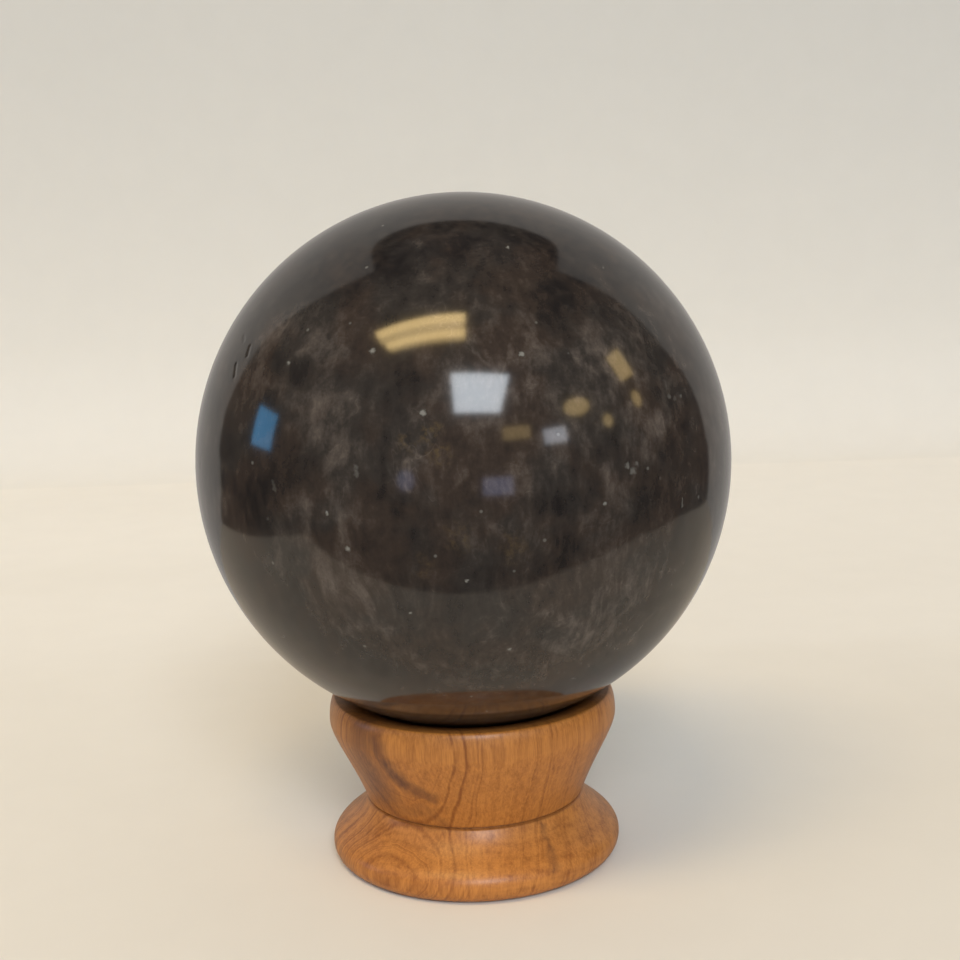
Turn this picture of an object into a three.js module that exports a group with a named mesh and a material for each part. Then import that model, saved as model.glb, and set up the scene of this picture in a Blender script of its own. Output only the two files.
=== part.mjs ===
// A polished stone ball resting on a lathe-turned wooden stand.
// Millimetres, +Z up. The origin is the centre of the stand's underside, on the stand's turning axis.

import * as THREE from "three";

// Stone ball
const BALL_RADIUS = 45;
const BALL_CENTRE_HEIGHT = 69;
const BALL_SEGMENTS_AROUND = 64;
const BALL_SEGMENTS_DOWN = 32;

// Stand: foot, neck and rim, all turned from one block
const FOOT_RADIUS = 25.3;
const FOOT_WIDEST_HEIGHT = 2.6;
const UNDERSIDE_RADIUS = 22.8;
const NECK_RADIUS = 19.1;
const NECK_HEIGHT = 10.6;
const RIM_RADIUS = 25;
const RIM_WIDEST_HEIGHT = 24.8;
const RIM_TOP_RADIUS = 23.9;
const RIM_TOP_HEIGHT = 28.8;
const RIM_INNER_RADIUS = 22.6;

// How the stand's side leaves the neck, in degrees from level for the foot and from upright for the bowl
const FOOT_FLARE_ANGLE = 62;
const BOWL_FLARE_ANGLE = 20;

// Lengths of the curves' handles: they say how far each end of a curve holds its direction
const FOOT_FLARE_HANDLE = 5;
const FOOT_SIDE_HANDLE = 3;
const BOWL_FLARE_HANDLE = 7;
const BOWL_SIDE_HANDLE = 2.2;

// Line cut round the neck
const GROOVE_DEPTH = 0.5;
const GROOVE_WIDTH = 0.7;

// Seat: a band turned to the ball's curve, given by the angles of its edges at the ball's centre
const SEAT_GAP = 0.3;
const SEAT_OUTER_ANGLE = 26;
const SEAT_INNER_ANGLE = 18;
const WELL_RADIUS = 12.8;
const WELL_FLOOR_HEIGHT = 22.4;

const STAND_SEGMENTS_AROUND = 56;
const CURVE_STEPS = 8;
const ROUND_STEPS = 6;
const SEAT_STEPS = 4;

const point = (radius, height) => new THREE.Vector2(radius, height);

// A point that lies `length` from `from`, in a direction given in degrees above level, outwards.
function along(from, degrees, length) {
  const angle = THREE.MathUtils.degToRad(degrees);
  return point(from.x + length * Math.cos(angle), from.y + length * Math.sin(angle));
}

// A smooth curve from `start` to `end` that leaves and arrives along its two handles, without its first point.
function sweep(start, startHandle, endHandle, end) {
  return new THREE.CubicBezierCurve(start, startHandle, endHandle, end).getPoints(CURVE_STEPS).slice(1);
}

// A quarter of an ellipse about `centre`, turned through `from` to `to` degrees.
function quarterRound(centre, radius, height, from, to) {
  const [start, end] = [from, to].map(THREE.MathUtils.degToRad);
  return new THREE.EllipseCurve(centre.x, centre.y, radius, height, start, end, end < start).getPoints(ROUND_STEPS);
}

// The band that the ball rests on: part of a circle about the ball's centre, a small gap outside the ball.
function seatBand() {
  const radius = BALL_RADIUS + SEAT_GAP;
  const start = THREE.MathUtils.degToRad(SEAT_OUTER_ANGLE - 90);
  const end = THREE.MathUtils.degToRad(SEAT_INNER_ANGLE - 90);
  return new THREE.EllipseCurve(0, BALL_CENTRE_HEIGHT, radius, radius, start, end, true).getPoints(SEAT_STEPS);
}

// The stand's outline, from the middle of its underside, up its outside and down into its seat.
function standOutline() {
  const footWidest = point(FOOT_RADIUS, FOOT_WIDEST_HEIGHT);
  const neckBelow = point(NECK_RADIUS, NECK_HEIGHT - GROOVE_WIDTH / 2);
  const neckAbove = point(NECK_RADIUS, NECK_HEIGHT + GROOVE_WIDTH / 2);
  const rimWidest = point(RIM_RADIUS, RIM_WIDEST_HEIGHT);
  return [
    point(0, 0),
    ...quarterRound(
      point(UNDERSIDE_RADIUS, FOOT_WIDEST_HEIGHT),
      FOOT_RADIUS - UNDERSIDE_RADIUS,
      FOOT_WIDEST_HEIGHT,
      -90,
      0,
    ),
    ...sweep(
      footWidest,
      along(footWidest, 90, FOOT_SIDE_HANDLE),
      along(neckBelow, -FOOT_FLARE_ANGLE, FOOT_FLARE_HANDLE),
      neckBelow,
    ),
    point(NECK_RADIUS - GROOVE_DEPTH, NECK_HEIGHT),
    neckAbove,
    ...sweep(
      neckAbove,
      along(neckAbove, 90 - BOWL_FLARE_ANGLE, BOWL_FLARE_HANDLE),
      along(rimWidest, -90, BOWL_SIDE_HANDLE),
      rimWidest,
    ),
    ...quarterRound(
      point(RIM_TOP_RADIUS, RIM_WIDEST_HEIGHT),
      RIM_RADIUS - RIM_TOP_RADIUS,
      RIM_TOP_HEIGHT - RIM_WIDEST_HEIGHT,
      0,
      90,
    ).slice(1),
    point(RIM_INNER_RADIUS, RIM_TOP_HEIGHT),
    ...seatBand(),
    point(WELL_RADIUS, WELL_FLOOR_HEIGHT),
    point(0, WELL_FLOOR_HEIGHT),
  ];
}

function stoneBall() {
  const geometry = new THREE.SphereGeometry(BALL_RADIUS, BALL_SEGMENTS_AROUND, BALL_SEGMENTS_DOWN);
  geometry.rotateX(Math.PI / 2);
  const material = new THREE.MeshStandardMaterial({ color: 0x3a322c, roughness: 0.06, metalness: 0 });
  const mesh = new THREE.Mesh(geometry, material);
  mesh.name = "stone_sphere";
  mesh.position.z = BALL_CENTRE_HEIGHT;
  return mesh;
}

function turnedStand() {
  const geometry = new THREE.LatheGeometry(standOutline(), STAND_SEGMENTS_AROUND);
  geometry.rotateX(Math.PI / 2);
  const material = new THREE.MeshStandardMaterial({ color: 0xb3713f, roughness: 0.35, metalness: 0 });
  const mesh = new THREE.Mesh(geometry, material);
  mesh.name = "turned_stand";
  return mesh;
}

const ornament = new THREE.Group();
ornament.add(turnedStand(), stoneBall());

export default ornament;
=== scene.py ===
"""A polished stone ball resting on a lathe-turned wooden stand, laid out as a Blender add-on.

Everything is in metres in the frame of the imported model, +Z up, with the origin under the stand.
Places on the ball and in the wood are in millimetres where their comments say so.
"""

import functools
import math

import bpy
import numpy as np
from bpy.props import FloatProperty, FloatVectorProperty, PointerProperty
from mathutils import Matrix, Vector


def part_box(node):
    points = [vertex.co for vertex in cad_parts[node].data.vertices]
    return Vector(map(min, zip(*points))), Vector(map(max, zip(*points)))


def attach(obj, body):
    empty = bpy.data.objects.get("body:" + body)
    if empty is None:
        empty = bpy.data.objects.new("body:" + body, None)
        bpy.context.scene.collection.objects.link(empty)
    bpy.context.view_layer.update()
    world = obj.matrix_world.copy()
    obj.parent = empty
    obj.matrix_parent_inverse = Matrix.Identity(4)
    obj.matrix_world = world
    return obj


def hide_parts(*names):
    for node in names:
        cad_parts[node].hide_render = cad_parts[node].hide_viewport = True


bl_info = {
    "name": "Stone ball on a turned stand",
    "version": (1, 0, 0),
    "blender": (4, 5, 0),
    "location": "3D View > Sidebar > Ornament",
    "description": "Builds a polished stone ball, its turned wooden stand and a plain studio",
    "category": "Add Mesh",
}

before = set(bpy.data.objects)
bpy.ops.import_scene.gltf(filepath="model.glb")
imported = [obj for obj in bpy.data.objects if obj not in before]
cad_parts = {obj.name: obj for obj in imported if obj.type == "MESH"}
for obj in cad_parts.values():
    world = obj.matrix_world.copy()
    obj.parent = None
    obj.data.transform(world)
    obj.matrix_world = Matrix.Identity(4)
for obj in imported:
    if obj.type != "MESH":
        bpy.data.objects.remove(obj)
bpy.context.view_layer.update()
BALL_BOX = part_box("stone_sphere")
STAND_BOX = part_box("turned_stand")

MM = 0.001
BALL_RADIUS = (BALL_BOX[1][2] - BALL_BOX[0][2]) / 2
BALL_CENTRE = Vector((0, 0, (BALL_BOX[1][2] + BALL_BOX[0][2]) / 2))
FOOT_RADIUS = STAND_BOX[1][0]
STAND_HEIGHT = STAND_BOX[1][2]


# Settings


class BallSettings(bpy.types.PropertyGroup):
    """Colours and gloss of the stone ball."""

    dark_colour: FloatVectorProperty(
        name="Dark stone", description="Colour of the clear dark stone", subtype="COLOR", size=3,
        default=(0.0118, 0.0102, 0.0102), min=0, max=1,
    )
    brown_colour: FloatVectorProperty(
        name="Brown stone", description="Colour of the brown clouds", subtype="COLOR", size=3,
        default=(0.036, 0.0265, 0.0215), min=0, max=1,
    )
    grey_colour: FloatVectorProperty(
        name="Grey stone", description="Colour of the grey clouds", subtype="COLOR", size=3,
        default=(0.0305, 0.0264, 0.0238), min=0, max=1,
    )
    veil_colour: FloatVectorProperty(
        name="Veils", description="Colour of the pale veils and threads", subtype="COLOR", size=3,
        default=(0.114, 0.094, 0.082), min=0, max=1,
    )
    gold_colour: FloatVectorProperty(
        name="Golden patches", description="Colour of the small golden patches", subtype="COLOR", size=3,
        default=(0.085, 0.06, 0.03), min=0, max=1,
    )
    # Colour of the painted glints: pale specks that stand in for glints of light
    glint_colour: FloatVectorProperty(
        name="Glints", description="Colour of the small pale glints", subtype="COLOR", size=3,
        default=(0.17, 0.168, 0.155), min=0, max=1,
    )
    polish: FloatProperty(
        name="Roughness", description="Roughness of the polished skin", default=0.1, min=0, max=1,
    )
    refraction: FloatProperty(
        name="Refractive index", description="Refractive index of the polished stone", default=1.54,
        min=1, max=3,
    )


class StandSettings(bpy.types.PropertyGroup):
    """Sizes of the turned stand and colours of its wood."""

    underside_radius: FloatProperty(
        name="Underside radius", description="Radius of the flat underside", default=0.0228, unit="LENGTH",
    )
    foot_widest_height: FloatProperty(
        name="Foot's widest height", description="Height where the foot is widest", default=0.0026,
        unit="LENGTH",
    )
    neck_radius: FloatProperty(
        name="Neck radius", description="Radius of the neck", default=0.0191, unit="LENGTH",
    )
    neck_height: FloatProperty(
        name="Neck height", description="Height of the line cut round the neck", default=0.0106,
        unit="LENGTH",
    )
    rim_radius: FloatProperty(
        name="Rim radius", description="Largest radius of the bowl", default=0.025, unit="LENGTH",
    )
    rim_widest_height: FloatProperty(
        name="Rim's widest height", description="Height where the bowl is widest", default=0.0248,
        unit="LENGTH",
    )
    rim_top_radius: FloatProperty(
        name="Rim top radius", description="Radius where the rim's round meets its top", default=0.0239,
        unit="LENGTH",
    )
    rim_inner_radius: FloatProperty(
        name="Rim inner radius", description="Radius of the rim's inner edge", default=0.0226, unit="LENGTH",
    )
    well_radius: FloatProperty(
        name="Well radius", description="Radius of the hollow under the ball", default=0.0128, unit="LENGTH",
    )
    well_floor_height: FloatProperty(
        name="Well floor height", description="Height of the hollow's floor", default=0.0224, unit="LENGTH",
    )
    wood_colour: FloatVectorProperty(
        name="Wood", description="Colour of the wood between its growth lines", subtype="COLOR", size=3,
        default=(0.53, 0.208, 0.044), min=0, max=1,
    )
    line_colour: FloatVectorProperty(
        name="Growth lines", description="Colour of the wood's growth lines", subtype="COLOR", size=3,
        default=(0.243, 0.0735, 0.014), min=0, max=1,
    )
    # Also colours the dark burnished cut line with its painted shade, and the painted shade in the seat
    heart_and_shade_colour: FloatVectorProperty(
        name="Heart streaks", description="Colour of the dark streaks in the wood", subtype="COLOR", size=3,
        default=(0.12, 0.043, 0.02), min=0, max=1,
    )


class StudioSettings(bpy.types.PropertyGroup):
    """Camera and light."""

    camera_distance: FloatProperty(
        name="Camera distance", description="From the ball's centre", default=0.2393, unit="LENGTH",
    )
    camera_height_angle: FloatProperty(
        name="Camera height angle", description="How far the camera looks down on the ball's centre",
        default=math.radians(8.6), subtype="ANGLE",
    )
    camera_turn: FloatProperty(
        name="Camera turn", description="Turn to the right, away from the ball's centre",
        default=math.radians(0.63), subtype="ANGLE",
    )
    camera_tilt: FloatProperty(
        name="Camera tilt", description="Tilt down, away from the ball's centre",
        default=math.radians(0.82), subtype="ANGLE",
    )
    camera_lean: FloatProperty(
        name="Camera lean", description="Lean about the camera's own view line",
        default=math.radians(1.96), subtype="ANGLE",
    )
    focal_length: FloatProperty(
        name="Focal length", description="In millimetres on a 36 mm wide sensor", default=52.5, min=1,
    )
    paper_colour: FloatVectorProperty(
        name="Paper", description="Colour of the floor paper", subtype="COLOR", size=3,
        default=(0.872, 0.834, 0.77), min=0, max=1,
    )
    # The duller paper up the wall is painted shade
    high_paper_colour: FloatVectorProperty(
        name="High paper", description="Colour of the backdrop at the top of the picture", subtype="COLOR",
        size=3, default=(0.53, 0.528, 0.515), min=0, max=1,
    )


# Mesh helpers


def quarter_round(centre, radius, height, start, end, steps):
    """Part of an ellipse: centre + (radius cos a, height sin a), with a from start to end in degrees."""
    angle = np.radians(np.linspace(start, end, steps + 1))
    return np.stack([centre[0] + radius * np.cos(angle), centre[1] + height * np.sin(angle)], axis=1)


def sweep_curve(start, start_handle, end_handle, end, steps):
    """A cubic curve: its four points weighted by (1-t)^3, 3t(1-t)^2, 3t^2(1-t) and t^3, and added up."""
    t = np.linspace(0, 1, steps + 1)[:, None]
    weights = [(1 - t) ** 3, 3 * t * (1 - t) ** 2, 3 * t**2 * (1 - t), t**3]
    points = (start, start_handle, end_handle, end)
    return sum(weight * np.array(point) for weight, point in zip(weights, points))


def along(start, degrees, length):
    """The point that lies length from start, in a direction given in degrees above level, outwards."""
    angle = math.radians(degrees)
    return (start[0] + length * math.cos(angle), start[1] + length * math.sin(angle))


def revolve(profile, columns):
    """Carries an outline of (r, h) points round the Z axis: (r cos a, r sin a, h), a ring for each point."""
    angle = np.linspace(0, 2 * np.pi, columns, endpoint=False)
    radius, height = profile[:, :1], profile[:, 1:]
    return np.stack([radius * np.cos(angle), radius * np.sin(angle), height + 0 * angle], axis=2)


def closed_skin(name, rings, low_pole, high_pole):
    """A closed mesh from rings of points, lowest first and counter-clockwise from above, and two poles."""
    rows, columns = rings.shape[:2]
    index = np.arange(rows * columns).reshape(rows, columns)
    turned = np.roll(index, -1, axis=1)
    quads = np.stack([index[:-1], turned[:-1], turned[1:], index[1:]], axis=2).reshape(-1, 4)
    low = np.full(columns, rows * columns)
    high = low + 1
    fans = np.concatenate(
        [np.stack([low, turned[0], index[0]], axis=1), np.stack([high, index[-1], turned[-1]], axis=1)]
    )
    points = np.concatenate([rings.reshape(-1, 3), [low_pole], [high_pole]])
    corners = np.concatenate([quads.ravel(), fans.ravel()])
    sizes = np.concatenate([np.full(len(quads), 4), np.full(len(fans), 3)])
    return fill_mesh(name, points, corners, sizes)


def open_sheet(name, points):
    """A mesh of one face for each cell of a grid of points, for stage surfaces."""
    rows, columns = points.shape[:2]
    index = np.arange(rows * columns).reshape(rows, columns)
    quads = np.stack([index[:-1, :-1], index[:-1, 1:], index[1:, 1:], index[1:, :-1]], axis=2).reshape(-1, 4)
    return fill_mesh(name, points.reshape(-1, 3), quads.ravel(), np.full(len(quads), 4))


def fill_mesh(name, points, corners, sizes):
    """Puts whole arrays of points and of face corners into a new smooth-shaded object at the origin."""
    mesh = bpy.data.meshes.new(name)
    mesh.vertices.add(len(points))
    mesh.vertices.foreach_set("co", np.asarray(points, dtype=np.float32).ravel())
    mesh.loops.add(len(corners))
    mesh.loops.foreach_set("vertex_index", corners.astype(np.int32))
    mesh.polygons.add(len(sizes))
    mesh.polygons.foreach_set("loop_start", (np.cumsum(sizes) - sizes).astype(np.int32))
    mesh.polygons.foreach_set("use_smooth", np.ones(len(sizes), dtype=bool))
    mesh.update(calc_edges=True)
    mesh.validate()
    piece = bpy.data.objects.new(name, mesh)
    bpy.context.scene.collection.objects.link(piece)
    return piece


# Shader helpers


class Wire:
    """An output socket. Arithmetic on it adds Math nodes."""

    def __init__(self, shader, socket):
        self.shader = shader
        self.socket = socket

    def math(self, operation, *values):
        return self.shader.add("ShaderNodeMath", {"operation": operation}, dict(enumerate(values)))

    def larger(self, other):
        """The larger of this and another value."""
        return self.math("MAXIMUM", self, other)

    def __add__(self, other):
        return self.math("ADD", self, other)

    def __sub__(self, other):
        return self.math("SUBTRACT", self, other)

    def __rsub__(self, other):
        return self.math("SUBTRACT", other, self)

    def __mul__(self, other):
        return self.math("MULTIPLY", self, other)

    def __pow__(self, other):
        return self.math("POWER", self, other)

    def __abs__(self):
        return self.math("ABSOLUTE", self)

    __radd__ = __add__


class Shader:
    """Adds nodes to one node tree."""

    def __init__(self, tree):
        self.tree = tree
        tree.nodes.clear()

    def add(self, kind, settings=None, sockets=None, output=0):
        """Adds a node of a type, sets its settings and then its sockets, and returns one output as a Wire."""
        node = self.tree.nodes.new(kind)
        for name, value in (settings or {}).items():
            setattr(node, name, value)
        for name, value in (sockets or {}).items():
            if isinstance(value, Wire):
                self.tree.links.new(value.socket, node.inputs[name])
            else:
                node.inputs[name].default_value = value
        if not node.outputs:
            return node
        return Wire(self, node.outputs[output])

    def mix(self, factor, first, second):
        """Mixes two colours."""
        sockets = {"Factor": factor, 6: rgba(first), 7: rgba(second)}
        return self.add("ShaderNodeMix", {"data_type": "RGBA"}, sockets, output=2)

    def smooth(self, value, low, high, top=1.0):
        """0 at low, the top value at high and a smooth step between, whichever of the two is larger."""
        return self.add(
            "ShaderNodeMapRange", {"interpolation_type": "SMOOTHSTEP"},
            {"Value": value, "From Min": low, "From Max": high, "To Max": top},
        )

    def noise(self, vector, scale, detail=4.0, roughness=0.55):
        """Fractal noise between 0 and 1."""
        return self.add(
            "ShaderNodeTexNoise", {},
            {"Vector": vector, "Scale": scale, "Detail": detail, "Roughness": roughness},
        )

    def mapping(self, vector, location=(0, 0, 0), rotation=(0, 0, 0), scale=(1, 1, 1)):
        """A place scaled, turned by angles in degrees and moved."""
        turned = tuple(math.radians(angle) for angle in rotation)
        return self.add(
            "ShaderNodeMapping", {},
            {"Vector": vector, "Location": location, "Rotation": turned, "Scale": scale},
        )

    def vector(self, operation, *values, output=0):
        """One step of vector arithmetic."""
        sockets = dict(enumerate(values))
        return self.add("ShaderNodeVectorMath", {"operation": operation}, sockets, output=output)

    def scaled(self, vector, factor):
        """A vector times a number."""
        return self.add("ShaderNodeVectorMath", {"operation": "SCALE"}, {"Vector": vector, "Scale": factor})

    def component(self, vector, axis):
        """One number of a vector or colour: 0, 1 or 2 for its first, second or third."""
        return self.add("ShaderNodeSeparateXYZ", {}, {"Vector": vector}, output=axis)

    def finish(self, **sockets):
        """Adds the Principled shader and the output, and links them."""
        names = {name.replace("_", " "): value for name, value in sockets.items()}
        surface = self.add("ShaderNodeBsdfPrincipled", {}, names)
        self.add("ShaderNodeOutputMaterial", {}, {"Surface": surface})


def rgba(colour):
    """A colour socket's value: a Wire as it is, and three numbers with an opaque alpha."""
    return colour if isinstance(colour, Wire) else (*colour, 1)


def new_material(name):
    material = bpy.data.materials.new(name)
    material.use_nodes = True
    return material, Shader(material.node_tree)


# Stone ball

BALL_ROWS = 236
BALL_COLUMNS = 404

# Places on the ball's skin are as seen from the front, in millimetres: to the right of its axis, and up
BALL_RADIUS_MM = BALL_RADIUS / MM

# Nicks in the skin: both ends, width and depth
NICKS = [
    ((-33.4, 23.4), (-33.2, 22.9), 0.36, 0.09),
    ((-32.0, 22.0), (-32.3, 20.8), 0.42, 0.12),
    ((-34.4, 19.3), (-34.5, 17.7), 0.42, 0.11),
    ((-41.7, 3.5), (-41.7, 3.3), 0.3, 0.06),
    ((-19.2, 35.4), (-19.3, 35.2), 0.3, 0.06),
    ((-22.1, 32.8), (-22.2, 32.7), 0.25, 0.06),
]
NICK_STEPS = 7

# The mesh is closer round the nicks: their place, the reach in degrees and how much closer
CLOSE_ROWS_HEIGHT = 21.0
CLOSE_COLUMNS_PLACE = (-33.4, -22.4)
CLOSE_SPREAD = 7.0
CLOSE_FACTOR = 6.0
CLOSE_TABLE_STEPS = 4001

# Patches in the stone: place, reach in millimetres and strength, which is full up to a share of the reach
SPOT_CORE = 0.25
PALE_PATCHES = [
    ((-19.5, 21.5), 6.5, 0.5), ((-20.0, 13.5), 7.5, 0.92), ((-16.5, 6.0), 6.0, 0.7),
    ((-17.5, -1.5), 5.0, 0.2), ((-7.5, 6.5), 5.0, 0.6), ((-4.5, 2.5), 4.0, 0.4), ((1.0, -2.5), 4.5, 0.3),
    ((8.5, -5.0), 5.5, 0.5), ((22.0, 20.0), 9.0, 0.7), ((27.0, 9.0), 7.0, 0.8), ((17.5, 12.0), 7.0, 0.5),
    ((12.0, 22.5), 5.0, 0.35), ((-19.0, -13.5), 6.0, 0.2), ((6.0, -20.0), 7.0, 0.25),
    ((17.0, -20.5), 9.0, 0.55), ((24.0, -13.0), 7.0, 0.4), ((-7.5, 30.5), 6.0, 0.35),
    ((0.0, 17.0), 5.0, 0.3), ((21.5, 2.0), 3.5, 0.5), ((9.5, 4.5), 4.0, 0.45),
]
DARK_PATCHES = [
    ((-22.3, 19.5), 3.6, 0.9), ((-26.5, 20.0), 4.0, 0.6), ((-28.0, 5.0), 8.0, 1.0),
    ((-30.5, -0.5), 7.5, 1.2), ((2.0, -18.5), 12.0, 0.45), ((-13.0, -4.5), 3.8, 0.8),
    ((-20.0, -5.5), 3.6, 0.55), ((11.5, -1.5), 5.5, 0.9), ((13.8, -6.5), 4.8, 1.0),
    ((15.5, 28.0), 6.5, 0.35), ((21.5, 26.0), 5.0, 0.2), ((27.5, 1.0), 4.6, 0.4),
    ((32.0, -1.0), 4.2, 0.4), ((21.5, 6.5), 3.4, 0.7), ((3.0, 29.5), 5.0, 0.4), ((-8.5, 18.0), 5.0, 0.4),
    ((3.5, -8.0), 3.6, 0.4), ((-3.5, -6.5), 3.2, 0.5), ((15.0, 15.5), 4.5, 0.35),
    ((-14.0, 29.0), 6.0, 0.4), ((0.5, 9.5), 3.8, 0.5), ((-30.0, 12.0), 7.0, 0.6),
]
GOLD_PATCHES = [
    ((-4.6, 10.6), 2.4, 1.0), ((-3.3, 7.6), 2.6, 0.8), ((-8.0, 9.0), 2.0, 0.6), ((-1.0, -4.0), 3.0, 0.5),
    ((-6.0, -8.5), 3.0, 0.4), ((6.5, -6.0), 3.5, 0.5),
]
WISP_PATCHES = [((-6.0, 6.0), 12.0, 1.0), ((-2.0, 26.0), 10.0, 1.0), ((8.0, -14.0), 14.0, 1.0)]
# Painted glints: pale specks in the stone's colour that stand in for glints of light
GLINTS = [
    ((-25.1, 20.1), 0.5, 1.0), ((-12.4, 21.8), 0.6, 1.0), ((8.6, 20.8), 0.5, 1.0), ((-5.5, 13.4), 0.6, 1.0),
    ((-17.0, -5.9), 0.6, 1.0), ((-8.4, -15.6), 0.4, 1.0), ((-19.8, -0.8), 0.38, 1.0),
    ((-0.2, -10.6), 0.36, 1.0), ((5.7, -22.3), 0.42, 1.0), ((19.9, -0.8), 0.36, 1.0), ((7.6, 35.7), 0.4, 1.0),
    ((23.5, 4.2), 0.62, 0.6), ((24.3, 3.3), 0.75, 0.5), ((24.9, 4.3), 0.45, 0.4), ((30.8, 13.1), 0.5, 0.4),
    ((32.8, 12.9), 0.5, 0.5), ((31.8, 12.7), 0.55, 0.2),
]

# Fine lines in the stone: both ends, reach in millimetres and strength
STONE_VEINS = [
    ((2.0, 21.6), (5.6, 18.0), 0.55, 0.6), ((8.2, 23.4), (5.6, 18.0), 0.5, 0.6),
    ((5.6, 18.0), (6.4, 16.2), 0.5, 0.4), ((-11.0, 7.2), (-8.0, 2.6), 0.7, 0.55),
    ((-2.6, 2.6), (0.6, 5.2), 0.7, 0.5), ((-8.0, 9.2), (-5.2, 6.4), 0.5, 0.4),
    ((-18.2, 0.4), (-17.8, -8.0), 1.5, 0.45), ((-22.4, 1.0), (-22.6, -5.0), 1.1, 0.35),
    ((12.6, 5.4), (12.2, -1.0), 0.6, 0.35), ((16.8, 2.0), (16.2, -4.0), 0.9, 0.3),
    ((9.6, -3.4), (9.2, -9.4), 0.9, 0.3), ((-20.0, -10.9), (-14.1, -22.4), 1.1, 0.28),
    ((-10.0, -20.2), (-5.4, -26.4), 1.2, 0.35), ((-4.4, -19.0), (0.6, -24.6), 1.5, 0.35),
    ((-15.4, -11.6), (-10.8, -19.0), 1.0, 0.3), ((11.0, -17.8), (17.4, -21.4), 1.2, 0.3),
    ((9.4, -21.0), (14.6, -24.6), 1.0, 0.3),
]
# Short painted glints
GLINT_STREAKS = [
    ((30.2, 15.3), (30.4, 14.4), 0.5, 0.2), ((32.5, -2.3), (32.4, -3.3), 0.36, 0.7),
    ((-15.3, 5.9), (-15.1, 4.7), 0.5, 0.3), ((-27.9, 3.2), (-27.7, 2.0), 0.5, 0.2),
]

# The stone's patterns: noise scale per millimetre, detail and roughness
CLOUDS = (0.055, 2, 0.55)
BLOTCHES = (0.17, 3, 0.6)
MOTTLE = (0.58, 5, 0.58)
GRAIN = (2.1, 3, 0.7)
HUES = (0.08, 3, 0.55)
GOLD_SPECKS = (0.8, 4, 0.7)

# How the patterns are moved about: scale per millimetre of the noise that moves them, and reach
BEND_WARP = (0.07, 9.0)
CURL_WARP = (0.3, 2.2)
MOTTLE_WARP = (0.3, 1.2)
VEIN_WARP = (0.25, 2.6)
HUE_WARP = (0.1, 8.0)
GOLD_WARP = (0.5, 3.0)
GLINT_WARP = (1.6, 0.9)
GLINT_STREAK_WARP = (1.6, 1.0)

# Where the stone's low, left and top parts set in: heights and a place across, in millimetres. Over the top
# part the stone is darkened as painted shade, against the light from overhead.
LOW_HEIGHTS = (2.0, -14.0)
LEFT_PLACES = (6.0, -8.0)
TOP_SHADE_HEIGHTS = (22.0, 40.0)

# The stone's fibres: turn in degrees, noise scale per millimetre and share of that scale along the fibre
UPRIGHT_FIBRES = ((6, 4, 0), 0.75, 0.14)
SLANTING_FIBRES = ((-15, 26, 0), 0.6, 0.12)

# The stone's tone runs from 0, clear and dark, to 1, a milky veil: what each pattern adds to it
STONE_TONE = 0.33
CLOUD_WEIGHT = 0.66
BLOTCH_WEIGHT = 1.12
MOTTLE_WEIGHT = 1.15
GRAIN_WEIGHT = 0.36
FIBRE_WEIGHT = 0.4
THREAD_WEIGHT = 0.1
WISP_WEIGHT = 0.16
VEIN_WEIGHT = 0.55
PALE_WEIGHT = 0.34
DARK_WEIGHT = 0.3
# How much the painted shade darkens the top of the ball
TOP_SHADE_WEIGHT = 0.3

# Tones and hues between which one of the stone's colours turns into the next
CLEAR_STONE_TONES = (-0.3, 0.5)
VEIL_TONES = (0.3, 1.15)
HUE_RANGE = (0.4, 0.6)

# Scattered painted glints: cells per millimetre, the share of cells left without one, size in cells and
# strength
SCATTER_SCALE = 0.45
SCATTER_SHARE = (0.92, 0.95)
SCATTER_SIZE = (0.16, 0.07)
SCATTER_STRENGTH = 0.5


def front_place(place):
    """The point of the ball's skin, about its centre, that shows at a place seen from the front."""
    across, up = place
    return (across, -math.sqrt(BALL_RADIUS_MM**2 - across**2 - up**2), up)


def crowded(start, end, count, centre, spread, factor):
    """Values from start to end, closer round the centre.

    They are the inverse of the running sum of 1 + factor times a bell curve round the centre.
    """
    even = np.linspace(start, end, CLOSE_TABLE_STEPS)
    density = 1 + factor * np.exp(-(((even - centre) / spread) ** 2))
    total = np.concatenate([[0], np.cumsum((density[1:] + density[:-1]) / 2)])
    return np.interp(np.linspace(0, total[-1], count), total, even)


def ball_directions():
    """Directions (cos b cos a, cos b sin a, sin b), with b and a closer together round the nicks."""
    spread = math.radians(CLOSE_SPREAD)
    tilt = math.asin(CLOSE_ROWS_HEIGHT / BALL_RADIUS_MM)
    b = crowded(-np.pi / 2, np.pi / 2, BALL_ROWS + 2, tilt, spread, CLOSE_FACTOR)[1:-1, None]
    turn = math.atan2(CLOSE_COLUMNS_PLACE[1], CLOSE_COLUMNS_PLACE[0]) % (2 * math.pi)
    a = crowded(0, 2 * np.pi, BALL_COLUMNS + 1, turn, spread, CLOSE_FACTOR)[:-1]
    return np.stack([np.cos(b) * np.cos(a), np.cos(b) * np.sin(a), np.sin(b) + 0 * a], axis=2)


def ball_rings():
    """The ball's skin in millimetres: its radius, less a row of bell-shaped hollows along each nick."""
    directions = ball_directions()
    depth = np.zeros(directions.shape[:2])
    for start, end, width, deepest in NICKS:
        ends = np.array([front_place(start), front_place(end)])
        for t in np.linspace(0, 1, NICK_STEPS):
            middle = ends[0] * (1 - t) + ends[1] * t
            away = np.linalg.norm(BALL_RADIUS_MM * directions - middle, axis=2)
            depth = np.maximum(depth, deepest * np.exp(-((away / width) ** 2)))
    return (BALL_RADIUS_MM - depth)[..., None] * directions


def strongest(values):
    """The largest of several values at each point."""
    return functools.reduce(lambda total, value: value.larger(total), values)


def patches(shader, place, spots):
    """The strongest of several soft round spots, each full near its middle and 0 past its reach."""
    values = []
    for middle, reach, strength in spots:
        away = shader.vector("DISTANCE", place, front_place(middle), output=1)
        values.append(shader.smooth(away, reach, reach * SPOT_CORE, strength))
    return strongest(values)


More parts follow.
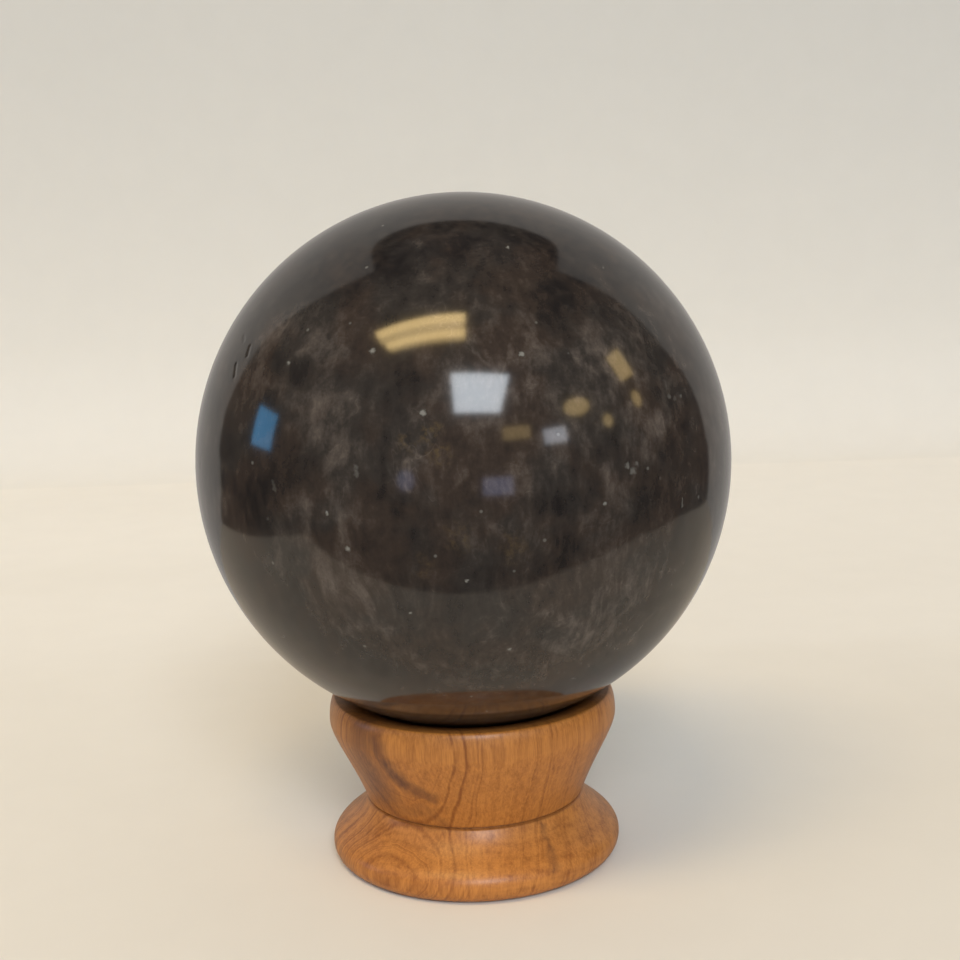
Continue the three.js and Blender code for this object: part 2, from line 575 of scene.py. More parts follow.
def drift(shader, place, scale, reach):
    """An offset in all three directions from noise of a scale, by up to about half the reach each way."""
    tint = shader.add("ShaderNodeTexNoise", {}, {"Vector": place, "Scale": scale}, output=1)
    return shader.scaled(shader.vector("SUBTRACT", tint, (0.5, 0.5, 0.5)), reach)


def warped(shader, place, scale, reach):
    """A place moved about by noise of a scale."""
    return shader.vector("ADD", place, drift(shader, place, scale, reach))


def streak(shader, place, start, end, reach, strength):
    """A soft line between two points, 0 past its reach."""
    span = Vector(end) - Vector(start)
    offset = shader.vector("SUBTRACT", place, start)
    share = shader.vector("DOT_PRODUCT", offset, span / span.length_squared, output=1)
    share = shader.add("ShaderNodeClamp", {}, {"Value": share})
    away = shader.vector("DISTANCE", offset, shader.scaled(span, share), output=1)
    return shader.smooth(away, reach, 0.0, strength)


def streaks(shader, place, runs):
    """The strongest of several soft lines, each with its two ends, reach and strength."""
    return strongest(streak(shader, place, *run) for run in runs)


def front_streaks(shader, place, runs):
    """Soft lines whose ends are places on the ball's skin, seen from the front."""
    runs = [(front_place(start), front_place(end), reach, strength) for start, end, reach, strength in runs]
    return streaks(shader, place, runs)


def thin_threads(shader, place, scale, width):
    """Fine bright lines where noise crosses its middle value."""
    field = shader.noise(place, scale, detail=2, roughness=0.5)
    return 1 - shader.smooth(abs(field - 0.5), 0.0, width)


def stone_fibres(shader, place, turn, scale, stretch):
    """Noise drawn out along one direction, where its scale is multiplied by the stretch."""
    drawn_out = shader.mapping(place, rotation=turn, scale=(1, 1, stretch))
    return shader.noise(drawn_out, scale, detail=4, roughness=0.6)


def stone_tone(shader, place):
    """How pale the stone is, from 0 for clear and dark to 1 for a milky veil."""
    bent = warped(shader, place, *BEND_WARP)
    curled = warped(shader, bent, *CURL_WARP)
    clouds = shader.noise(bent, *CLOUDS)
    blotches = shader.noise(curled, *BLOTCHES)
    upright_mottle = shader.mapping(warped(shader, place, *MOTTLE_WARP), scale=(1, 1, 0.5))
    mottle = shader.noise(upright_mottle, *MOTTLE)
    grain = shader.noise(place, *GRAIN)
    height = shader.component(place, 2)
    low = shader.smooth(height, *LOW_HEIGHTS)
    left = shader.smooth(shader.component(place, 0), *LEFT_PLACES)
    # Painted shade over the top of the ball
    top = shader.smooth(height, *TOP_SHADE_HEIGHTS)
    upright = stone_fibres(shader, bent, *UPRIGHT_FIBRES)
    slanting = stone_fibres(shader, bent, *SLANTING_FIBRES)
    fibres = upright * (1 - left * low) + slanting * (left * low)
    threads = thin_threads(shader, curled, 0.16, 0.012) * shader.smooth(blotches, 0.45, 0.62)
    crossing = shader.mapping(bent, rotation=(0, 24, 40), scale=(1, 1, 0.5))
    wisps = thin_threads(shader, crossing, 0.3, 0.016) * patches(shader, bent, WISP_PATCHES)
    veins = front_streaks(shader, warped(shader, place, *VEIN_WARP), STONE_VEINS) * (0.25 + fibres)
    return (
        STONE_TONE
        + (clouds - 0.5) * CLOUD_WEIGHT
        + (blotches - 0.5) * (BLOTCH_WEIGHT - low * 0.7)
        + (mottle - 0.5) * (MOTTLE_WEIGHT - low * 0.25 - left * 0.25)
        + (grain - 0.5) * GRAIN_WEIGHT
        + (fibres - 0.5) * (FIBRE_WEIGHT + low * 0.8)
        # Painted shade: the top of the ball darker, against the light from overhead
        - top * TOP_SHADE_WEIGHT
        + threads * THREAD_WEIGHT
        + wisps * WISP_WEIGHT
        + veins * VEIN_WEIGHT
        + patches(shader, curled, PALE_PATCHES) * PALE_WEIGHT
        - patches(shader, curled, DARK_PATCHES) * DARK_WEIGHT
    )


def stone_glints(shader, place):
    """Painted glints: small pale specks in the stone's colour that stand in for glints of light, some at
    known places, and a scatter of others all over.
    """
    known = patches(shader, warped(shader, place, *GLINT_WARP), GLINTS)
    short = front_streaks(shader, warped(shader, place, *GLINT_STREAK_WARP), GLINT_STREAKS)
    cells = shader.add("ShaderNodeTexVoronoi", {}, {"Vector": place, "Scale": SCATTER_SCALE})
    tint = Wire(shader, cells.socket.node.outputs["Color"])
    chosen = shader.smooth(shader.component(tint, 0), *SCATTER_SHARE)
    scatter = shader.smooth(cells, *SCATTER_SIZE) * chosen
    return strongest([known, scatter * SCATTER_STRENGTH, short])


def stone_material(settings):
    """Dark stone with cloudy veils, fine fibres, golden patches and painted glints, polished to a mirror
    gloss.
    """
    material, shader = new_material("polished_stone")
    coordinates = shader.add("ShaderNodeTexCoord", output=3)
    place = shader.mapping(coordinates, location=-BALL_CENTRE / MM, scale=(1 / MM,) * 3)
    tone = stone_tone(shader, place)
    hue = shader.smooth(shader.noise(warped(shader, place, *HUE_WARP), *HUES), *HUE_RANGE)
    cloud = shader.mix(hue, settings.grey_colour, settings.brown_colour)
    colour = shader.mix(shader.smooth(tone, *CLEAR_STONE_TONES), settings.dark_colour, cloud)
    colour = shader.mix(shader.smooth(tone, *VEIL_TONES), colour, settings.veil_colour)
    gold = patches(shader, warped(shader, place, *GOLD_WARP), GOLD_PATCHES)
    gold = gold * shader.smooth(shader.noise(place, *GOLD_SPECKS), 0.45, 0.7)
    colour = shader.mix(gold, colour, settings.gold_colour)
    colour = shader.mix(stone_glints(shader, place), colour, settings.glint_colour)
    shader.finish(Base_Color=colour, Roughness=settings.polish, IOR=settings.refraction)
    return material


class ORNAMENT_OT_stone_sphere(bpy.types.Operator):
    """Make the polished stone ball"""

    bl_idname = "ornament.stone_sphere"
    bl_label = "Stone ball"

    def execute(self, context):
        settings = context.scene.ornament_ball
        rings = ball_rings() * MM + np.array(BALL_CENTRE)
        poles = [np.array(BALL_CENTRE) + (0, 0, side * BALL_RADIUS) for side in (-1, 1)]
        ball = closed_skin("stone_ball", rings, *poles)
        ball.data.materials.append(stone_material(settings))
        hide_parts("stone_sphere")
        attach(ball, "root")
        return {"FINISHED"}


# Turned stand

FOOT_FLARE_ANGLE = 62
BOWL_FLARE_ANGLE = 20
FOOT_FLARE_HANDLE = 5.0 * MM
FOOT_SIDE_HANDLE = 3.0 * MM
BOWL_FLARE_HANDLE = 7.0 * MM
BOWL_SIDE_HANDLE = 2.2 * MM
GROOVE_DEPTH = 0.5 * MM
GROOVE_WIDTH = 0.7 * MM
SEAT_GAP = 0.3 * MM
SEAT_OUTER_ANGLE = 26
SEAT_INNER_ANGLE = 18
STAND_COLUMNS = 360

# Steps along each part of the stand's outline
FLAT_STEPS = 6
UNDERSIDE_STEPS = 10
GROOVE_STEPS = 12
SEAT_STEPS = 16
FOOT_ROUND_STEPS = 20
RIM_ROUND_STEPS = 24
FOOT_STEPS = 40
BOWL_STEPS = 50

# The flat rings stop at this share of their radius, where the pole's fan starts, and closer points are merged
POLE_SHARE = 0.1
SAME_POINT = 1e-7


def stand_outline(stand):
    """The stand's outline from its underside up and down into its seat, as (radius, height) points."""
    foot_widest = (FOOT_RADIUS, stand.foot_widest_height)
    neck_below = (stand.neck_radius, stand.neck_height - GROOVE_WIDTH / 2)
    neck_above = (stand.neck_radius, stand.neck_height + GROOVE_WIDTH / 2)
    rim_widest = (stand.rim_radius, stand.rim_widest_height)
    seat_radius = BALL_RADIUS + SEAT_GAP
    runs = [
        line_run((stand.underside_radius * POLE_SHARE, 0), (stand.underside_radius, 0), UNDERSIDE_STEPS),
        quarter_round(
            (stand.underside_radius, stand.foot_widest_height), FOOT_RADIUS - stand.underside_radius,
            stand.foot_widest_height, -90, 0, FOOT_ROUND_STEPS,
        ),
        sweep_curve(
            foot_widest, along(foot_widest, 90, FOOT_SIDE_HANDLE),
            along(neck_below, -FOOT_FLARE_ANGLE, FOOT_FLARE_HANDLE), neck_below, FOOT_STEPS,
        ),
        groove_run(neck_below, neck_above),
        sweep_curve(
            neck_above, along(neck_above, 90 - BOWL_FLARE_ANGLE, BOWL_FLARE_HANDLE),
            along(rim_widest, -90, BOWL_SIDE_HANDLE), rim_widest, BOWL_STEPS,
        ),
        quarter_round(
            (stand.rim_top_radius, stand.rim_widest_height), stand.rim_radius - stand.rim_top_radius,
            STAND_HEIGHT - stand.rim_widest_height, 0, 90, RIM_ROUND_STEPS,
        ),
        line_run((stand.rim_top_radius, STAND_HEIGHT), (stand.rim_inner_radius, STAND_HEIGHT), FLAT_STEPS),
        quarter_round(
            (0, BALL_CENTRE.z), seat_radius, seat_radius, SEAT_OUTER_ANGLE - 90, SEAT_INNER_ANGLE - 90,
            SEAT_STEPS,
        ),
        line_run(
            (stand.well_radius, stand.well_floor_height),
            (stand.well_radius * POLE_SHARE, stand.well_floor_height), FLAT_STEPS,
        ),
    ]
    outline = np.concatenate(runs)
    step = np.linalg.norm(np.diff(outline, axis=0), axis=1)
    return outline[np.concatenate([[True], step > SAME_POINT])]


def line_run(start, end, steps):
    """Evenly spaced points from start to end."""
    return np.linspace(start, end, steps + 1)


def groove_run(start, end):
    """The cut line: up from start to end, with depth times (1 - cos 2 pi t) / 2 taken off the radius."""
    t = np.linspace(0, 1, GROOVE_STEPS + 1)
    depth = GROOVE_DEPTH * (1 - np.cos(2 * np.pi * t)) / 2
    return np.stack([start[0] - depth, start[1] + (end[1] - start[1]) * t], axis=1)


# Wood, in millimetres: its growth layers are round a heart that lies outside the stand, at its front left
HEART_PLACE = (-19.6, -30.2, 0)
GRAIN_BEND = 0.4
LAYER_SPACING = 1.0
LAYER_WANDER = 1.6
LAYER_BANDS = (0.55, 4)
LINE_NOISE = (0.35, 1)
LINE_NOISE_START = 40.0

# Each layer darkens between these shares of its width, more where noise across the layers is high
LINE_SHARE = (0.35, 0.95)
LINE_STRENGTHS = (0.35, 0.75)

# Growth lines that stand out: distance from the heart, half width and strength
CLEAR_LAYERS = [
    (18.8, 0.42, 0.55), (17.0, 0.34, 0.35), (21.7, 0.24, 0.22), (30.6, 0.35, 0.25), (33.2, 0.3, 0.25),
]

# Dark streaks and stains: both ends, reach and strength
HEART_STREAKS = [
    ((-16.4, -18.7, 26.6), (-14.6, -19.4, 22.3), 3.4, 0.9),
    ((-14.6, -19.4, 22.3), (-11.5, -19.5, 18.8), 2.7, 1.0),
    ((-11.5, -19.5, 18.8), (-7.2, -20.5, 16.6), 2.1, 0.75),
    # This wide streak darkens the bowl's left side: partly the heartwood's own colour, partly painted shade
    ((-18.5, -16.5, 28.0), (-16.5, -14.5, 15.0), 7.0, 0.8),
    ((-16.4, -10.3, 13.4), (-9.0, -17.2, 13.6), 2.6, 0.45),
    ((-8.5, -18.5, 14.5), (-5.4, -18.6, 11.6), 2.0, 0.35),
    ((11.0, -16.2, 9.4), (12.0, -18.8, 6.6), 1.2, 0.5),
    ((12.0, -18.8, 6.6), (12.6, -21.3, 4.3), 1.6, 0.55),
    ((10.6, -22.0, 27.0), (9.6, -17.6, 15.0), 1.2, 0.25),
]

# The wood's patterns: noise scale per millimetre, detail and roughness, and the scale's share along the grain
FIBRES = (1.6, 4, 0.7)
FIBRE_STRETCH = 0.05
PORES = (4.6, 2, 0.55)
PORE_STRETCH = 0.06
CURL = (0.9, 4, 0.65)
CURL_STRETCH = 0.22
SWIRLS = (0.35, 4, 0.6)

# The wood's tone runs from 0, between its growth lines, to 1, on the darkest: what each pattern adds to it
WOOD_TONE = 0.3
BAND_WEIGHT = 0.5
LINE_WEIGHT = 0.25
WOOD_FIBRE_WEIGHT = 1.15
PORE_WEIGHT = 0.65
CURL_WEIGHT = 0.15
SWIRL_WEIGHT = 0.3
WOOD_TONES = (-0.1, 1.0)

# The foot is figured otherwise: its depth below the neck, and the places across it where each figure sets in
FOOT_DEPTHS = (0.2, 1.4)
FOOT_LEFT_PLACES = (-2.0, -12.0)
FOOT_RIGHT_PLACES = (-4.0, 6.0)
FOOT_CLEARNESS_LOSS = 0.4

# Darkening along the cut line, by distance from it, and in the seat, by radius and height, in millimetres.
# Along the cut line it is a dark burnished line with painted shade in its crease; in the seat it is painted
# shade under the ball.
GROOVE_BURN_AND_SHADE_REACH = (0.55, 0.1)
GROOVE_BURN_AND_SHADE = 0.45
SEAT_PAINTED_SHADE_RADII = (24.3, 22.4)
SEAT_PAINTED_SHADE_HEIGHTS = (20.0, 28.0)
SEAT_PAINTED_SHADE = 0.35

# Roughness of the varnish, and how much more it has on the fibres
VARNISH_ROUGHNESS = 0.3
FIBRE_ROUGHNESS = 0.12


def wood_layers(shader, place, neck_height):
    """Distance from the heart in millimetres, with the grain bent below the neck and wandering a little."""
    below = (neck_height - shader.component(place, 2)).larger(0.0)
    bent = shader.vector("ADD", place, shader.scaled((GRAIN_BEND, 0, 0), below))
    slow = shader.mapping(place, scale=(1, 1, 0.45))
    bent = shader.vector("ADD", bent, drift(shader, slow, 0.11, 2.6))
    bent = shader.vector("ADD", bent, drift(shader, slow, 0.45, 0.4))
    return shader.vector("DISTANCE", shader.mapping(bent, scale=(1, 1, 0)), HEART_PLACE, output=1)


def along_line(shader, value, scale, detail):
    """Noise of a single number, between 0 and 1."""
    return shader.add(
        "ShaderNodeTexNoise", {"noise_dimensions": "1D"},
        {"W": value, "Scale": scale, "Detail": detail, "Roughness": 0.65},
    )


def wood_material(settings):
    """Warm hardwood: growth layers round a heart, fine fibres, dark streaks, a dark burnished cut line with
    painted shade in it, painted shade in the seat, and a satin varnish.
    """
    material, shader = new_material("turned_wood")
    coordinates = shader.add("ShaderNodeTexCoord", output=3)
    place = shader.mapping(coordinates, scale=(1 / MM,) * 3)
    height = shader.component(place, 2)
    across = shader.component(place, 0)
    neck_height = settings.neck_height / MM
    layers = wood_layers(shader, place, neck_height)
    bands = along_line(shader, layers, *LAYER_BANDS)
    strength = along_line(shader, layers + LINE_NOISE_START, *LINE_NOISE)
    phase = layers * (1 / LAYER_SPACING) + bands * LAYER_WANDER
    within = phase.math("FRACT", phase)
    lines = shader.smooth(within, *LINE_SHARE) * shader.smooth(strength, *LINE_STRENGTHS)
    fibres = shader.noise(shader.mapping(place, scale=(1, 1, FIBRE_STRETCH)), *FIBRES)
    pores = shader.noise(shader.mapping(place, scale=(1, 1, PORE_STRETCH)), *PORES)
    curl = shader.noise(shader.mapping(place, scale=(CURL_STRETCH, CURL_STRETCH, 1)), *CURL)
    swirls = shader.noise(warped(shader, place, 0.2, 6.0), *SWIRLS)
    on_foot = shader.smooth(neck_height - height, *FOOT_DEPTHS)
    foot_left = on_foot * shader.smooth(across, *FOOT_LEFT_PLACES)
    foot_right = on_foot * shader.smooth(across, *FOOT_RIGHT_PLACES)
    tone = (
        WOOD_TONE
        + (bands - 0.5) * (BAND_WEIGHT + foot_left * 0.9)
        + lines * (LINE_WEIGHT + foot_left * 0.2)
        + (fibres - 0.5) * WOOD_FIBRE_WEIGHT
        + (pores - 0.5) * PORE_WEIGHT
        + (curl - 0.5) * (CURL_WEIGHT + foot_right)
        + (swirls - 0.5) * (SWIRL_WEIGHT + foot_left * 0.6 + foot_right * 0.3)
    )
    clearness = 1 - on_foot * FOOT_CLEARNESS_LOSS
    for distance, width, level in CLEAR_LAYERS:
        tone = tone + shader.smooth(abs(layers - distance), width, 0.0, level) * clearness
    colour = shader.mix(shader.smooth(tone, *WOOD_TONES), settings.wood_colour, settings.line_colour)
    stains = streaks(shader, warped(shader, place, 0.4, 2.0), HEART_STREAKS) * (0.4 + fibres)
    # A dark burnished line along the cut, with painted shade in its crease
    groove = shader.smooth(abs(height - neck_height), *GROOVE_BURN_AND_SHADE_REACH)
    from_axis = shader.vector("LENGTH", shader.mapping(place, scale=(1, 1, 0)), output=1)
    # Painted shade in the seat, under the ball
    seat = shader.smooth(from_axis, *SEAT_PAINTED_SHADE_RADII) * shader.smooth(height, *SEAT_PAINTED_SHADE_HEIGHTS)
    dark = strongest([stains, groove * GROOVE_BURN_AND_SHADE, seat * SEAT_PAINTED_SHADE])
    colour = shader.mix(dark, colour, settings.heart_and_shade_colour)
    shader.finish(Base_Color=colour, Roughness=VARNISH_ROUGHNESS + fibres * FIBRE_ROUGHNESS)
    return material


class ORNAMENT_OT_turned_stand(bpy.types.Operator):
    """Make the turned wooden stand"""

    bl_idname = "ornament.turned_stand"
    bl_label = "Turned stand"

    def execute(self, context):
        settings = context.scene.ornament_stand
        rings = revolve(stand_outline(settings), STAND_COLUMNS)
        stand = closed_skin("turned_wood_stand", rings, (0, 0, 0), (0, 0, settings.well_floor_height))
        stand.data.materials.append(wood_material(settings))
        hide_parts("turned_stand")
        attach(stand, "root")
        return {"FINISHED"}


# Studio

BACKDROP_DISTANCE = 0.47
BACKDROP_BEND = 0.06
BACKDROP_BEND_STEPS = 24
BACKDROP_HALF_WIDTH = 4.0
BACKDROP_HEIGHT = 3.0
BACKDROP_TOP_SEEN = 0.24
FLOOR_FRONT = -4.0
FLOOR_DROP = 0.1 * MM

# The paper: its mottle's scale per metre and range of levels, and its levels near the camera and far away.
# The levels are painted light that makes the back of the floor palest, and the duller paper up the wall is
# painted shade.
PAPER_MOTTLE_SCALE = 60.0
PAPER_MOTTLE_LEVELS = (0.98, 1.02)
PAPER_FAR_RANGE = (-0.14, 0.4)
PAPER_LEVELS = (0.87, 1.12)
PAPER_HIGH_POWER = 0.36
PAPER_ROUGHNESS = 0.9

# Outlines of the paper that the ball mirrors, as (left, right, further), in ball radii from the ball's centre
NEAR_FLOOR_ROWS = [
    (-4.41, 1.6, -2.15), (-4.42, 2.4, -1.94), (-4.5, 3.69, -1.37), (-4.65, 5.07, 0.29), (-5.05, 5.55, 2.6),
]
FAR_FLOOR_ROWS = [
    (-5.05, 5.55, 2.6), (-9.4, 8.8, 4.65), (-14.2, 13.4, 7.5), (-24.5, 22.6, 13.5), (-56.7, 58.8, 35.0),
]
WALL_DISTANCE = 35.0

# Outlines of the mirrored wall, as (left, right, height), and of a dark opening overhead, as
# (left, right, further), all as shares of their distance
WALL_ROWS = [
    (-1.62, 1.68, -0.044), (-1.61, 1.75, 0.25), (-1.75, 1.92, 0.59), (-1.82, 2.22, 1.0), (-1.94, 2.26, 1.4),
    (-2.2, 2.18, 2.1), (-2.36, 2.12, 3.0), (-2.1, 1.95, 4.0), (-1.2, 1.3, 4.6),
]
SHEET_FLOOR_COLOUR = (0.59, 0.546, 0.492)
SHEET_WALL_BRIGHTNESS = (0.504, 0.472, 0.437)
SHADE_HEIGHT = 20.0
SHADE_ROWS = [
    (-0.44, 0.55, 0.2), (-0.43, 0.53, 0.48), (-0.39, 0.51, 0.6), (-0.31, 0.46, 0.66), (-0.2, 0.34, 0.685),
]
SHADE_BRIGHTNESS = (0.012, 0.011, 0.013)
SHADE_MIDDLE_SHARE = 0.98
SHADE_MIDDLE_ROWS = [(-0.36, 0.45, 0.1), (-0.34, 0.43, 0.34), (-0.27, 0.37, 0.43), (-0.12, 0.22, 0.46)]
SHADE_MIDDLE_BRIGHTNESS = (0.05, 0.045, 0.047)

# Light panels high over the ball: middle and size as multiples of their height, lean, brightness and colour
PANEL_HEIGHT = 1.0
WARM_LIGHT = (1.0, 0.705, 0.3)
WHITE_LIGHT = (0.86, 0.93, 1.0)
CEILING_PANELS = {
    "warm_panel_back": ((-0.28, -0.428), (0.64, 0.082), 0.0, 12.2, WARM_LIGHT),
    "warm_panel_middle": ((-0.28, -0.507), (0.64, 0.076), 0.0, 7.3, WARM_LIGHT),
    "warm_panel_front": ((-0.265, -0.5825), (0.61, 0.075), 0.0, 12.4, WARM_LIGHT),
    "warm_panel_edge": ((-0.26, -0.6425), (0.6, 0.045), 0.0, 5.0, WARM_LIGHT),
    "white_panel": ((0.205, -1.467), (0.6227, 0.636), 0.3, 10.8, WHITE_LIGHT),
}

# Small lamps round the room: turn to the viewer's right and height, size, all in degrees, and brightness
LAMP_DISTANCE = 1.5
GOLD_LIGHT = (1.0, 0.7, 0.3)
BLUE_LIGHT = (0.12, 0.5, 0.95)
PALE_LIGHT = (0.85, 0.9, 1.0)
VIOLET_LIGHT = (0.5, 0.6, 1.0)
LAMPS = {
    "blue_lamp": ((-91, 11), (12, 11), 3.6, BLUE_LIGHT),
    "gold_lamp_high": ((81.5, 30.4), (8, 9), 4.2, GOLD_LIGHT),
    "gold_lamp_far": ((81, 19), (4.6, 5.2), 2.8, GOLD_LIGHT),
    "gold_lamp_wide": ((50.5, 23.6), (11.5, 6.4), 3.4, GOLD_LIGHT),
    "gold_lamp_low": ((63.0, 16), (4.6, 4.4), 3.0, GOLD_LIGHT),
    "gold_lamp_front": ((22, 18), (11, 5), 2.4, GOLD_LIGHT),
    "pale_lamp": ((38, 15), (9.5, 5.6), 5.0, PALE_LIGHT),
    "violet_lamp": ((13, -2), (12, 7), 1.6, VIOLET_LIGHT),
    "violet_lamp_left": ((-23, 1), (7, 8), 1.0, VIOLET_LIGHT),
}
ROUND_LAMPS = {"gold_lamp_far", "gold_lamp_wide", "gold_lamp_low", "violet_lamp_left"}

# Soft lights that only brighten surfaces: place, size and brightness, each aimed at the ball's centre
SOFT_LIGHTS = {
    "soft_high": ((0.2, -1.47, 1.07), 0.63, 2.86),
    "soft_front": ((-0.2, -1.6, 0.55), 1.4, 0.8),
    "soft_left": ((-1.1, -0.5, 0.9), 0.7, 1.4),
    "soft_right": ((1.2, -1.0, 0.5), 0.8, 0.35),
}

# The world as the camera, as reflections and as all other light see it
WORLD_SEEN = (0.72, 0.7, 0.65)
WORLD_MIRRORED = (0.06, 0.052, 0.048)
WORLD_FILL = (0.39, 0.385, 0.375)

# The camera: sensor width in millimetres, and nearest distance seen in metres
SENSOR_WIDTH = 36
CAMERA_NEAREST = 0.01


def between(share, low, high):
    """A number that runs from low to high as the share goes from 0 to 1."""
    return low + share * (high - low)


def paper_material(name, colour, high_colour):
    """Matt paper with a faint mottle, with painted light that makes it palest at the back of the floor and
    painted shade that makes it duller up the wall.
    """
    material, shader = new_material(name)
    coordinates = shader.add("ShaderNodeTexCoord", output=3)
    mottle = shader.noise(coordinates, PAPER_MOTTLE_SCALE, detail=3)
    # Painted light: the floor palest at the back
    far = shader.smooth(shader.component(coordinates, 1), *PAPER_FAR_RANGE)
    # Painted shade: the paper duller up the wall
    high = (shader.component(coordinates, 2) * (1 / BACKDROP_TOP_SEEN)).larger(0.0) ** PAPER_HIGH_POWER
    level = between(far, *PAPER_LEVELS) * between(mottle, *PAPER_MOTTLE_LEVELS)
    shade = shader.mix(high.math("MINIMUM", high, 1.0), colour, high_colour)
    shader.finish(Base_Color=shader.scaled(shade, level), Roughness=PAPER_ROUGHNESS)
    return material


def glow_material(name, brightness):
    """An even glow of a given brightness, for surfaces that only the ball mirrors."""
    material, shader = new_material(name)
    glow = shader.add("ShaderNodeEmission", {}, {"Color": rgba(brightness)})
    shader.add("ShaderNodeOutputMaterial", {}, {"Surface": glow})
    return material


def backdrop_points():
    """A sweep of paper: floor, quarter-round bend and upright wall, carried along a straight level line."""
    bend_centre = (BACKDROP_DISTANCE - BACKDROP_BEND, BACKDROP_BEND)
    bend = quarter_round(bend_centre, BACKDROP_BEND, BACKDROP_BEND, -90, 0, BACKDROP_BEND_STEPS)
    profile = np.concatenate([[(FLOOR_FRONT, 0)], bend, [(BACKDROP_DISTANCE, BACKDROP_HEIGHT)]])
    across = np.array([-BACKDROP_HALF_WIDTH, BACKDROP_HALF_WIDTH])
    depth, height = profile[:, :1] + 0 * across, profile[:, 1:] + 0 * across
    return np.stack([across + 0 * depth, depth, height - FLOOR_DROP], axis=2)


def mirrored_sheet(name, rows, axis, distance, level, material):
    """A flat sheet that only mirrors show, from rows of (left, right, further) times the distance.

    The rows step along the given axis, 1 or 2, and the other of the two is fixed at the level.
    """
    points = np.zeros((len(rows), 2, 3))
    for row, (left, right, further) in zip(points, rows):
        row[:, 0] = left, right
        row[:, axis] = further
    points *= distance
    points[..., 3 - axis] = level
    sheet = open_sheet(name, points * BALL_RADIUS + np.array(BALL_CENTRE))
    sheet.data.materials.append(material)
    for kind in ("camera", "diffuse", "shadow", "transmission"):
        setattr(sheet, f"visible_{kind}", False)


def mirror_studio():
    """The paper that the ball mirrors round its rim, and the dark opening overhead."""
    ground = -BALL_CENTRE.z / BALL_RADIUS
    pale = glow_material("mirrored_wall_glow", SHEET_WALL_BRIGHTNESS)
    dark = glow_material("mirrored_shade_glow", SHADE_BRIGHTNESS)
    dim = glow_material("mirrored_shade_middle_glow", SHADE_MIDDLE_BRIGHTNESS)
    paper = paper_material("mirrored_paper", SHEET_FLOOR_COLOUR, SHEET_FLOOR_COLOUR)
    mirrored_sheet("mirrored_floor", NEAR_FLOOR_ROWS, 1, 1, ground, paper)
    mirrored_sheet("mirrored_far_floor", FAR_FLOOR_ROWS, 1, 1, ground, pale)
    mirrored_sheet("mirrored_wall", WALL_ROWS, 2, WALL_DISTANCE, WALL_DISTANCE, pale)
    mirrored_sheet("mirrored_shade", SHADE_ROWS, 1, SHADE_HEIGHT, SHADE_HEIGHT, dark)
    middle_height = SHADE_HEIGHT * SHADE_MIDDLE_SHARE
    mirrored_sheet("mirrored_shade_middle", SHADE_MIDDLE_ROWS, 1, middle_height, middle_height, dim)


def add_light(name, place, size, brightness, colour, target):
    """A rectangular light that faces its target. Its power gives its face the stated brightness."""
    light = bpy.data.lights.new(name, "AREA")
    light.shape = "RECTANGLE"
    light.size, light.size_y = size
    light.energy = brightness * math.pi * light.size * light.size_y
    light.color = colour
    panel = bpy.data.objects.new(name, light)
    panel.location = place
    panel.rotation_euler = (Vector(place) - Vector(target)).to_track_quat("Z", "Y").to_euler()
    bpy.context.scene.collection.objects.link(panel)
    return panel


def light_studio():
    """The light panels, the small lamps and the soft lights."""
    for name, (middle, size, lean, brightness, colour) in CEILING_PANELS.items():
        place = BALL_CENTRE + Vector((*middle, 1)) * PANEL_HEIGHT
        size = [PANEL_HEIGHT * side for side in size]
        add_light(name, place, size, brightness, colour, place + Vector((0, lean, -1)))
    for name, (angles, size, brightness, colour) in LAMPS.items():
        turn, height = (math.radians(angle) for angle in angles)
        direction = Vector(
            (math.sin(turn) * math.cos(height), -math.cos(turn) * math.cos(height), math.sin(height))
        )
        size = [LAMP_DISTANCE * math.radians(side) for side in size]
        lamp = add_light(name, BALL_CENTRE + LAMP_DISTANCE * direction, size, brightness, colour, BALL_CENTRE)
        lamp.visible_diffuse = False
        if name in ROUND_LAMPS:
            lamp.data.shape = "ELLIPSE"
    for name, (place, size, brightness) in SOFT_LIGHTS.items():
        light = add_light(name, place, (size, size), brightness, WHITE_LIGHT, BALL_CENTRE)
        light.visible_glossy = False


def studio_world():
    """Pale to the camera, dim to reflections and a soft fill for everything else."""
    world = bpy.data.worlds.new("studio")
    bpy.context.scene.world = world
    world.use_nodes = True
    shader = Shader(world.node_tree)
    path = shader.add("ShaderNodeLightPath")
    glossy = Wire(shader, path.socket.node.outputs["Is Glossy Ray"])
    colour = shader.mix(glossy, WORLD_FILL, WORLD_MIRRORED)
    colour = shader.mix(path, colour, WORLD_SEEN)
    background = shader.add("ShaderNodeBackground", {}, {"Color": colour})
    shader.add("ShaderNodeOutputWorld", {}, {"Surface": background})


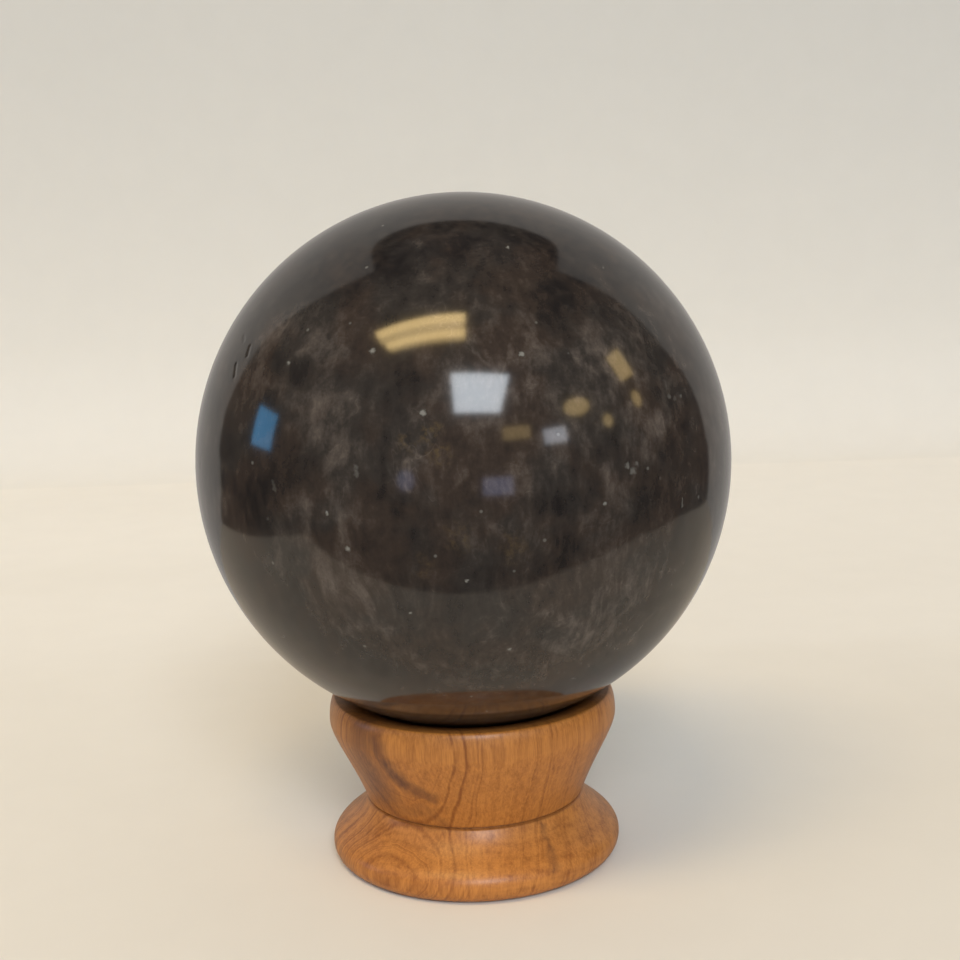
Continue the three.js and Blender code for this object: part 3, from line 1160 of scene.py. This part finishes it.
def place_camera(studio):
    """Puts the camera on a line down to the ball's centre, then turns, tilts and leans it."""
    camera = bpy.data.objects.new("camera", bpy.data.cameras.new("camera"))
    camera.data.lens = studio.focal_length
    camera.data.sensor_width = SENSOR_WIDTH
    camera.data.clip_start = CAMERA_NEAREST
    back = Vector((0, -math.cos(studio.camera_height_angle), math.sin(studio.camera_height_angle)))
    right = Vector((1, 0, 0))
    facing = Matrix((right, back.cross(right), back)).transposed().to_4x4()
    turned = (
        Matrix.Rotation(-studio.camera_turn, 4, "Y")
        @ Matrix.Rotation(-studio.camera_tilt, 4, "X")
        @ Matrix.Rotation(-studio.camera_lean, 4, "Z")
    )
    camera.matrix_world = Matrix.Translation(BALL_CENTRE + studio.camera_distance * back) @ facing @ turned
    bpy.context.scene.collection.objects.link(camera)
    bpy.context.scene.camera = camera


class ORNAMENT_OT_studio(bpy.types.Operator):
    """Make the camera, the paper floor and backdrop, and the lights"""

    bl_idname = "ornament.studio"
    bl_label = "Studio"

    def execute(self, context):
        studio = context.scene.ornament_studio
        context.scene.view_settings.view_transform = "Standard"
        place_camera(studio)
        backdrop = open_sheet("backdrop", backdrop_points())
        backdrop.visible_glossy = False
        paper = paper_material("backdrop_paper", studio.paper_colour, studio.high_paper_colour)
        backdrop.data.materials.append(paper)
        mirror_studio()
        light_studio()
        studio_world()
        return {"FINISHED"}


# Panel and registration


class ORNAMENT_PT_tools(bpy.types.Panel):
    """The ornament's settings and its makers"""

    bl_label = "Ornament"
    bl_idname = "ORNAMENT_PT_tools"
    bl_space_type = "VIEW_3D"
    bl_region_type = "UI"
    bl_category = "Ornament"

    def draw(self, context):
        for operator, settings in STEPS:
            self.layout.operator(operator)
            group = getattr(context.scene, settings)
            for name in group.__annotations__:
                self.layout.prop(group, name)


STEPS = [
    ("ornament.studio", "ornament_studio"),
    ("ornament.stone_sphere", "ornament_ball"),
    ("ornament.turned_stand", "ornament_stand"),
]
SETTINGS = {"ornament_studio": StudioSettings, "ornament_ball": BallSettings, "ornament_stand": StandSettings}
CLASSES = [
    *SETTINGS.values(),
    ORNAMENT_OT_studio,
    ORNAMENT_OT_stone_sphere,
    ORNAMENT_OT_turned_stand,
    ORNAMENT_PT_tools,
]


def register():
    for each in CLASSES:
        bpy.utils.register_class(each)
    for name, group in SETTINGS.items():
        setattr(bpy.types.Scene, name, PointerProperty(type=group))


def unregister():
    for name in SETTINGS:
        delattr(bpy.types.Scene, name)
    for each in reversed(CLASSES):
        bpy.utils.unregister_class(each)


def main():
    """Builds everything in order."""
    register()
    bpy.ops.ornament.studio()
    bpy.ops.ornament.stone_sphere()
    bpy.ops.ornament.turned_stand()


if __name__ == "__main__":
    main()
